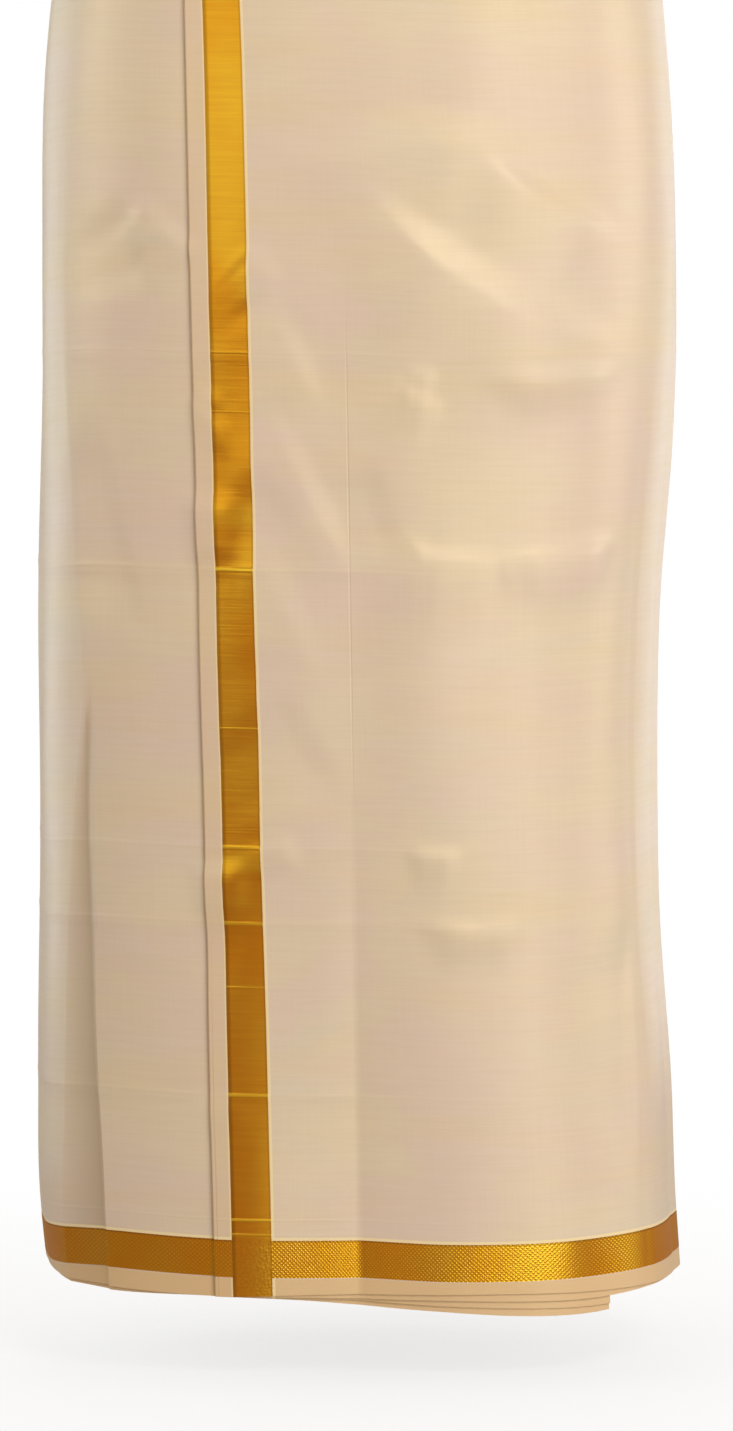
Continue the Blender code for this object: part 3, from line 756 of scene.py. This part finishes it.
class Value:
    """A number or colour that varies over a surface. Arithmetic on it adds Math nodes."""

    def __init__(self, finish, socket):
        self.finish = finish
        self.socket = socket

    def math(self, operation, *values):
        return self.finish.node("ShaderNodeMath", {"operation": operation}, dict(enumerate(values)))

    def __add__(self, other):
        return self.math("ADD", self, other)

    def __radd__(self, other):
        return self.math("ADD", other, self)

    def __sub__(self, other):
        return self.math("SUBTRACT", self, other)

    def __rsub__(self, other):
        return self.math("SUBTRACT", other, self)

    def __mul__(self, other):
        return self.math("MULTIPLY", self, other)

    def __rmul__(self, other):
        return self.math("MULTIPLY", other, self)

    def sine(self):
        return self.math("SINE", self)

    def most(self, other):
        return self.math("MAXIMUM", self, other)

    def rise(self, low, high):
        """0 below low, 1 above high, and smooth between."""
        limits = {"Value": self, "From Min": low, "From Max": high}
        return self.finish.node("ShaderNodeMapRange", {"interpolation_type": "SMOOTHSTEP"}, limits)

    def band(self, low, high, soft):
        """1 between low and high, and 0 outside."""
        return self.rise(low - soft, low + soft) * (1 - self.rise(high - soft, high + soft))

    def part(self, name):
        """Another output of the same node."""
        return Value(self.finish, self.socket.node.outputs[name])


class Finish:
    """A material that is built up node by node."""

    def __init__(self, name):
        self.material = bpy.data.materials.new(name)
        self.material.use_nodes = True
        self.tree = self.material.node_tree
        self.tree.nodes.clear()

    def node(self, kind, settings=None, values=None, output=0):
        made = self.tree.nodes.new(kind)
        for key, value in (settings or {}).items():
            setattr(made, key, value)
        for key, value in (values or {}).items():
            if isinstance(value, Value):
                self.tree.links.new(value.socket, made.inputs[key])
            else:
                made.inputs[key].default_value = value
        return Value(self, made.outputs[output])

    def place(self):
        """Where on the cloth: metres from the free edge, from the border's foot, from the crease."""
        spot = self.node("ShaderNodeAttribute", {"attribute_name": "cloth_place"}, output="Vector")
        parts = self.node("ShaderNodeSeparateXYZ", None, {0: spot})
        return parts, parts.part("Y"), parts.part("Z")

    # How much painted shade lies on the cloth inside the pleat
    def pleat_painted_shade(self):
        return self.node("ShaderNodeAttribute", {"attribute_name": "pleat_painted_shade"}, output="Fac")

    def pressed(self, above):
        """1 along each line that was pressed across the cloth, and 0 between them: where a highlight is
        painted and the bump rises.
        """
        lines = 0.0
        for line in PRESSED_LINES:
            level = line.height - (BORDER_TOP - GOLD_WIDTH)
            shown = above.band(level - line.half, level + line.half, line.half * LINE_SOFT) * line.strength
            lines = shown + lines
        return lines

    def point(self, x, y, z=0.0):
        return self.node("ShaderNodeCombineXYZ", None, {0: x, 1: y, 2: z})

    def noise(self, point, detail=2.0, roughness=0.5):
        values = {"Vector": point, "Scale": 1.0, "Detail": detail, "Roughness": roughness}
        return self.node("ShaderNodeTexNoise", None, values)

    def grain(self, grain, along, above):
        spot = self.point(along * grain.along, above * grain.above, grain.apart)
        return self.noise(spot, grain.detail, grain.roughness)

    def colours(self, share, low, high):
        """Mix two colours. Each is a tuple or a colour value."""
        values = {0: share}
        for key, colour in ((6, low), (7, high)):
            values[key] = colour if isinstance(colour, Value) else (*colour, 1.0)
        return self.node("ShaderNodeMix", {"data_type": "RGBA"}, values, output=2)

    def tinted(self, colour, noise, tinting):
        return self.colours(noise.rise(tinting.low, tinting.high) * tinting.share, colour, tinting.colour)

    def bump(self, height, distance, strength=1.0, under=None):
        values = {"Height": height, "Distance": distance, "Strength": strength}
        if under is not None:
            values["Normal"] = under
        return self.node("ShaderNodeBump", None, values)

    def shader(self, **values):
        named = {key.replace("_", " "): value for key, value in values.items()}
        return self.node("ShaderNodeBsdfPrincipled", None, named)

    def done(self, shader):
        end = self.tree.nodes.new("ShaderNodeOutputMaterial")
        self.tree.links.new(shader.socket, end.inputs["Surface"])
        return self.material


# The grain of a finish: cells of noise to a metre along the cloth and up it. Patterns lie apart in depth.
Grain = namedtuple("Grain", "along above apart detail roughness", defaults=(0.5,))
SLUBS = Grain(38, 900, 0.0, 3.0, 0.6)
LONG_SLUBS = Grain(14, 380, 3.0, 2.0)
WARP = Grain(700, 16, 7.0, 2.0)
SHIMMER = Grain(9, 16, 1.0, 3.0)
WARM_PATCHES = Grain(7, 36, 5.0, 2.0)
GREY_PATCHES = Grain(10, 22, 9.0, 3.0)
GOLD_RIBS = Grain(30, 800, 0.0, 1.0)
GOLD_LINES = Grain(12, 260, 4.0, 2.0)
GOLD_PATCHES = Grain(22, 14, 2.0, 2.0)
EMBOSSING = Grain(560, 560, 6.0, 1.0)
WEAVE = ((SLUBS, 0.5), (LONG_SLUBS, 0.45), (WARP, 0.25))
WEAVE_MIDDLE = 0.6                # half of the weave's shares

# Tints that a noise lays on: where it starts and is full, and how much of the colour then shows
Tinting = namedtuple("Tinting", "low high share colour")
CREAM_ROSE = (0.790, 0.618, 0.505)
# The weft slubs' colour, also used for the painted shade along the crease
SLUB_AND_CREASE_SHADE = (0.620, 0.470, 0.310)
CREAM_SHIMMER = Tinting(0.35, 0.65, 1.0, (0.800, 0.650, 0.475))
CREAM_GREY = Tinting(0.52, 0.70, 0.6, (0.760, 0.640, 0.500))
CREAM_WARM = Tinting(0.45, 0.75, 0.35, (0.815, 0.625, 0.380))
CREAM_SLUBS = Tinting(0.50, 0.72, 0.13, SLUB_AND_CREASE_SHADE)
# Painted shade inside the pleat
PLEAT_PAINTED_SHADE = (0.600, 0.445, 0.300)
# Pale lines beside the gold borders, and the painted highlight along the pressed lines
BORDER_EDGE_AND_PRESSED_HIGHLIGHT = (0.980, 0.790, 0.440)
# The darker edge thread, together with painted shade of the gaps between the plies
EDGE_THREAD_AND_SHADE = (0.560, 0.350, 0.180)
SELVEDGE_CLOTH = (0.770, 0.500, 0.240)

# Lines of colour on the cream cloth: their widths in metres, and how much of their colour shows
LINE_SOFT = 0.6                   # a pressed line's soft edge, as a share of its half width
HEM_SELVEDGE_EDGE = 0.0012
SELVEDGE_SHOWS = 0.8
FREE_SELVEDGE_SHOWS = 0.35        # of that, beside the free edge
SELVEDGE_SOFT = 0.0005
EDGE_WIDTH = 0.0018               # pale threads beside a gold border
EDGE_SOFT = 0.0003
EDGE_SHOWS = 0.85
# A thin painted shade along the pressed crease, over the dip that the bump gives it
CREASE_WIDTH = 0.0005
CREASE_SOFT = 0.0004
CREASE_RANGE = (0.32, 0.58, 0.05)  # from and to which height above the hem its line shows, how softly
CREASE_SHADE_SHOWS = 0.16
THREAD_SOFT = 0.0002
# The free edge: a darker edge thread with painted shade of the gap beside it, and a second line of painted
# shade at the second ply's edge
FREE_EDGE_LINE = 0.0005
SECOND_EDGE_SHADE = (0.0019, 0.0024)
SECOND_EDGE_SHADE_TOP = (0.05, 0.27)  # it fades out between these heights above the hem
SECOND_EDGE_SHADE_SHOWS = 0.7
EDGE_LINES_SHOW = 0.75
PRESSED_FADE = 0.10               # past the crease the pressed lines fade over this distance
# How much painted highlight shows along a pressed line on the cream cloth
PRESSED_HIGHLIGHT_SHOWS = 0.06
PRESSED_RISE = 0.4
WEAVE_DEPTH = 0.00025
WEAVE_STRENGTH = 0.36
PRESSED_DEPTH = 0.00015
SILK_GLOSS = 0.42
SHIMMER_GLOSS = 0.12
WEAVE_GLOSS = 0.2


def cream_cloth():
    """Fine cotton with a silky sheen: uneven weft slubs, a faint rose and yellow shimmer."""
    cloth = Finish("cream_silky_cotton")
    along, above, past_crease = cloth.place()
    weave = sum(cloth.grain(grain, along, above) * share for grain, share in WEAVE)
    shimmer = cloth.grain(SHIMMER, along, above)
    tint = cloth.tinted(CREAM_ROSE, shimmer, CREAM_SHIMMER)
    tint = cloth.tinted(tint, cloth.grain(GREY_PATCHES, along, above), CREAM_GREY)
    tint = cloth.tinted(tint, cloth.grain(WARM_PATCHES, along, above), CREAM_WARM)
    tint = cloth.tinted(tint, weave, CREAM_SLUBS)
    # Inside the pleat the cloth is painted a shade darker
    tint = cloth.colours(cloth.pleat_painted_shade(), tint, PLEAT_PAINTED_SHADE)
    below_hem = 1 - above.rise(-HEM_SELVEDGE_EDGE, 0.0)
    beside_free = along.band(0.0, SELVEDGE, SELVEDGE_SOFT) * FREE_SELVEDGE_SHOWS
    tint = cloth.colours(below_hem.most(beside_free) * SELVEDGE_SHOWS, tint, SELVEDGE_CLOTH)
    beside_hem = above.band(GOLD_WIDTH, GOLD_WIDTH + EDGE_WIDTH, EDGE_SOFT)
    beside_end = along.band(SELVEDGE + GOLD_WIDTH, SELVEDGE + GOLD_WIDTH + EDGE_WIDTH, EDGE_SOFT)
    before_end = along.band(SELVEDGE - 0.5 * EDGE_WIDTH, SELVEDGE, EDGE_SOFT)
    beside_gold = beside_hem.most(beside_end).most(before_end)
    tint = cloth.colours(beside_gold * EDGE_SHOWS, tint, BORDER_EDGE_AND_PRESSED_HIGHLIGHT)
    # Painted shade along the crease line, which the bump also dips
    crease = past_crease.band(-CREASE_WIDTH, CREASE_WIDTH, CREASE_SOFT) * above.band(*CREASE_RANGE)
    tint = cloth.colours(crease * CREASE_SHADE_SHOWS, tint, SLUB_AND_CREASE_SHADE)
    # Along the free edge a darker thread with painted shade of the gap; beside it the second ply's edge as
    # a line of painted shade
    free = along.band(-FREE_EDGE_LINE, FREE_EDGE_LINE, THREAD_SOFT)
    second = along.band(*SECOND_EDGE_SHADE, THREAD_SOFT) * (1 - above.rise(*SECOND_EDGE_SHADE_TOP))
    tint = cloth.colours(free.most(second * SECOND_EDGE_SHADE_SHOWS) * EDGE_LINES_SHOW, tint, EDGE_THREAD_AND_SHADE)
    pressed = cloth.pressed(above) * (1 - past_crease.rise(0.0, PRESSED_FADE))
    # A highlight is painted along the pressed lines
    tint = cloth.colours(pressed * PRESSED_HIGHLIGHT_SHOWS, tint, BORDER_EDGE_AND_PRESSED_HIGHLIGHT)
    bump = cloth.bump(weave, WEAVE_DEPTH, WEAVE_STRENGTH)
    bump = cloth.bump(pressed * PRESSED_RISE - crease, PRESSED_DEPTH, 1.0, bump)
    gloss = SILK_GLOSS + (shimmer - 0.5) * SHIMMER_GLOSS + (weave - WEAVE_MIDDLE) * WEAVE_GLOSS
    return cloth.done(cloth.shader(
        Base_Color=tint, Roughness=gloss, Normal=bump,
        Sheen_Weight=0.12, Sheen_Roughness=0.4, Sheen_Tint=(1.0, 0.93, 0.80, 1.0),
        Specular_IOR_Level=0.95, Specular_Tint=(1.0, 0.90, 0.58, 1.0)))


GOLD_CORE = (0.485, 0.096, 0.002)
GOLD_CORE_EDGE = (0.250, 0.056, 0.002)
GOLD_THREAD = (1.000, 0.700, 0.045)
GOLD_THREAD_DEEP = (0.900, 0.530, 0.025)
CORE_DEEPENS = Tinting(0.35, 0.65, 0.6, (0.400, 0.072, 0.002))
THREAD_BRIGHTENS = Tinting(0.30, 0.70, 1.0, GOLD_THREAD)
DIAMOND = 0.0026
DIAMONDS_RISE = 0.7
LATTICE_RIBS_RISE = 0.15
RIBS_RISE = 0.6
LINES_RISE = 0.4
EMBOSSING_RISES = 1.6
THREAD_SHARE = 0.42               # how much metal thread covers the silk core
LATTICE_THREAD_SHARE = 0.56
RIB_CONTRAST = 0.30
LATTICE_CONTRAST = 0.50
GOLD_DEPTH = 0.0003
GOLD_GLOSS = 0.30
GOLD_GLOSS_RANGE = 0.04
CROSSING_SOFT = 0.0006
CROSSING_DARK = 0.10
EDGE_DARK = 0.9
DARK_THREAD = 0.5                 # how much of the metal thread is gone where the gold is darkest
# How much the gold core is painted paler along a pressed line, a painted highlight
PRESSED_GOLD_HIGHLIGHT = 0.6

# Where the gold darkens towards an edge: distances in from it
LATTICE_EDGE = (0.0014, 0.0006)
INNER_EDGE = (0.0010, 0.0030)
OUTER_EDGE = (0.0016, 0.0004)
OUTER_EDGE_DARK = 0.7


def gold_border(name, lattice):
    """Metal thread laid over an orange silk core: fine ribs, or along the hem small diamonds."""
    gold = Finish(name)
    along, above, _ = gold.place()
    ribs = gold.grain(GOLD_RIBS, along, above)
    patches = gold.grain(GOLD_PATCHES, along, above)
    crossing = along.band(SELVEDGE, SELVEDGE + GOLD_WIDTH, THREAD_SOFT)
    crossing = crossing * (1 - above.rise(GOLD_WIDTH, GOLD_WIDTH + CROSSING_SOFT))
    if lattice:
        rising = ((along + above) * (math.pi / DIAMOND)).sine()
        falling = ((along - above) * (math.pi / DIAMOND)).sine()
        diamonds = rising * falling
        relief = diamonds * diamonds * DIAMONDS_RISE + ribs * LATTICE_RIBS_RISE
        contrast = LATTICE_CONTRAST
        metal_share = LATTICE_THREAD_SHARE
        edge = above.rise(*(GOLD_WIDTH - inwards for inwards in LATTICE_EDGE))
    else:
        lines = gold.grain(GOLD_LINES, along, above)
        embossing = crossing * (gold.grain(EMBOSSING, along, above) - 0.5)
        relief = ribs * RIBS_RISE + lines * LINES_RISE + embossing * EMBOSSING_RISES
        contrast = RIB_CONTRAST
        metal_share = THREAD_SHARE
        inner_edge = 1 - along.rise(*(SELVEDGE + inwards for inwards in INNER_EDGE))
        outer_edge = along.rise(*(SELVEDGE + GOLD_WIDTH - inwards for inwards in OUTER_EDGE))
        edge = inner_edge.most(outer_edge * OUTER_EDGE_DARK)
    dark = (edge * EDGE_DARK).most(crossing * CROSSING_DARK)
    core = gold.tinted(GOLD_CORE, patches, CORE_DEEPENS)
    core = gold.colours(dark, core, GOLD_CORE_EDGE)
    thread = gold.tinted(GOLD_THREAD_DEEP, patches, THREAD_BRIGHTENS)
    bump = gold.bump(relief, GOLD_DEPTH, contrast)
    if not lattice:
        # Along the pressed lines the core is painted paler, a painted highlight over a real bump
        pressed = gold.pressed(above)
        core = gold.colours(pressed * PRESSED_GOLD_HIGHLIGHT, core, GOLD_THREAD)
        bump = gold.bump(pressed, GOLD_DEPTH, 1.0, bump)
    gloss = GOLD_GLOSS + (ribs - 0.5) * GOLD_GLOSS_RANGE
    silk = gold.shader(Base_Color=core, Roughness=0.7, Normal=bump, Specular_IOR_Level=0.1)
    metal = gold.shader(Base_Color=thread, Roughness=gloss, Metallic=1.0, Normal=bump)
    share = metal_share * (1 - dark * DARK_THREAD)
    share = share * (1 + (relief.rise(0.20, 0.80) - 0.5) * contrast)
    return gold.done(gold.node("ShaderNodeMixShader", None, {0: share, 1: silk, 2: metal}))


AMBIENT = 0.21
AMBIENT_TINT = (1.0, 0.84, 0.68)
LAMPS_AIM = -0.50                 # the height that every lamp faces

# The floor fades into white between two distances from its middle.
FLOOR_DROP = 0.055
FLOOR_REACH = 6.0
FLOOR_FADES = (0.45, 1.30)
FLOOR_TONES = ((0.93, 0.93, 0.93), (0.97, 0.97, 0.97))

CAMERA_PLACE = (0.006, -4.0, -0.32)
CAMERA_TILT = 4.46                # degrees down
SENSOR = 24.0
PHOTO_HEIGHT = 1431               # pixels
FOCAL_LENGTH = 6399               # pixels

# Soft boxes, at an angle round from the front and a height, each facing the middle of the tube
Lamp = namedtuple("Lamp", "name angle height away wide tall watts tint")
LAMPS = (
    Lamp("key", 31.0, -0.10, 2.7, 1.4, 1.6, 13.2, (1.0, 0.99, 0.97)),
    Lamp("low_key", 30.0, -1.02, 2.7, 2.1, 0.45, 12.0, (1.0, 0.99, 0.97)),
    Lamp("side", 88.0, -0.20, 2.6, 1.2, 1.6, 16.0, (1.0, 0.98, 0.95)),
    Lamp("fill", -20.0, 0.02, 2.7, 1.0, 1.3, 6.8, (1.0, 0.95, 0.87)),
    Lamp("left", -84.0, 0.10, 2.2, 1.2, 1.0, 14.5, (1.0, 0.98, 0.95)),
    Lamp("overhead", 24.0, 1.10, 2.4, 1.3, 0.45, 28.5, (1.0, 0.96, 0.88)),
    Lamp("left_rim", -125.0, -0.40, 1.6, 1.0, 1.2, 8.0, (0.80, 0.92, 1.0)),
    Lamp("right_rim", 140.0, -0.40, 1.6, 1.0, 1.2, 6.0, (0.95, 0.98, 1.0)),
    Lamp("back", 180.0, 0.50, 2.6, 1.6, 1.6, 20.0, (1.0, 0.98, 0.95)),
)


def studio():
    """A pale floor and backdrop, soft lights and a camera at the photo's angle."""
    scene = bpy.context.scene
    scene.view_settings.view_transform = "Standard"
    scene.world = white_world()
    pale_floor()
    for lamp in LAMPS:
        add_lamp(lamp)
    camera_data = bpy.data.cameras.new("camera")
    camera_data.sensor_width = SENSOR
    camera_data.lens = SENSOR * FOCAL_LENGTH / PHOTO_HEIGHT
    camera = bpy.data.objects.new("camera", camera_data)
    camera.location = CAMERA_PLACE
    camera.rotation_euler = (math.radians(90 - CAMERA_TILT), 0.0, 0.0)
    scene.collection.objects.link(camera)
    scene.camera = camera


def white_world():
    """White to look at, and a dim warm light on the cloth."""
    world = bpy.data.worlds.new("studio")
    world.use_nodes = True
    nodes = world.node_tree.nodes
    links = world.node_tree.links
    seen = nodes.new("ShaderNodeLightPath")
    sky = nodes.new("ShaderNodeMix")
    sky.data_type = "RGBA"
    sky.inputs[6].default_value = (*(AMBIENT * part for part in AMBIENT_TINT), 1.0)
    sky.inputs[7].default_value = (1.0, 1.0, 1.0, 1.0)
    links.new(seen.outputs["Is Camera Ray"], sky.inputs[0])
    links.new(sky.outputs[2], nodes["Background"].inputs["Color"])
    return world


def pale_floor():
    mesh = bpy.data.meshes.new("floor")
    corners = ((-1, -1), (1, -1), (1, 1), (-1, 1))
    points = [(FLOOR_REACH * x, FLOOR_REACH * y, HEM - FLOOR_DROP) for x, y in corners]
    mesh.from_pydata(points, [], [(0, 1, 2, 3)])
    floor = bpy.data.objects.new("floor", mesh)
    bpy.context.scene.collection.objects.link(floor)
    paint = Finish("pale_floor")
    spot = paint.node("ShaderNodeTexCoord", output="Object")
    tone = paint.colours(paint.noise(spot), *FLOOR_TONES)
    away = paint.node("ShaderNodeVectorMath", {"operation": "LENGTH"}, {0: spot}, output="Value")
    shown = 1 - away.rise(*FLOOR_FADES)
    mesh.materials.append(paint.done(paint.shader(Base_Color=tone, Roughness=0.9, Alpha=shown)))
    return floor


def add_lamp(lamp):
    data = bpy.data.lights.new(lamp.name, "AREA")
    data.shape = "RECTANGLE"
    data.size = lamp.wide
    data.size_y = lamp.tall
    data.energy = lamp.watts
    data.color = lamp.tint
    light = bpy.data.objects.new(lamp.name, data)
    turn = math.radians(lamp.angle)
    light.location = (lamp.away * math.sin(turn), -lamp.away * math.cos(turn), lamp.height)
    drop = math.atan2(lamp.height - LAMPS_AIM, lamp.away)
    light.rotation_euler = (math.radians(90) - drop, 0.0, turn)
    bpy.context.scene.collection.objects.link(light)


def stretch_width(lines):
    """How wide a stretch was cut: the distance along the cloth between its first and last lines."""
    height = np.array([HEM / 2])
    return float((metres_round(lines[-1](height)) - metres_round(lines[0](height)))[0])


def place_piece(piece, material, slot, *nodes):
    """Finish a piece, and hide the nodes that it stands for."""
    piece.data.materials.append(material)
    if nodes:
        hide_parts(*nodes)
    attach(piece, "root")
    return piece


def main():
    studio()
    cream = cream_cloth()
    ribbed = gold_border("gold_ribbed", False)
    lattice = gold_border("gold_lattice", True)
    front, back, under = STRETCHES
    outer = [place_piece(ply(one), cream, "cream_cloth", one.name + "_wrap") for one in STRETCHES]
    second = [place_piece(ply(one, second=True), cream, "cream_cloth") for one in STRETCHES]
    roll = place_piece(waist_roll("waist_turndown"), cream, "cream_cloth", "waist_fold")
    end = place_piece(end_border("end_border"), ribbed, "gold_border", "gold_end_border")
    hems = {}
    for name, lines, columns, step in (
            ("corner", (free_edge, gold_left), BORDER_COLUMNS, front.step),
            ("front", front.lines[2:], BORDER_COLUMNS, front.step),
            ("back", back.lines, back.columns, back.step),
            ("under", under.lines, under.columns, under.step)):
        border = hem_border("hem_border_" + name, lines, columns, step)
        hems[name] = place_piece(border, lattice, "gold_border", "gold_hem_" + name)
    borders = ([end, hems["corner"], hems["front"]], [hems["back"]], [hems["under"]])
    for stretch, outer_ply, second_ply, on_it in zip(STRETCHES, outer, second, borders):
        flat = (stretch_width(stretch.lines), -HEM)
        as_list(on_it)


main()
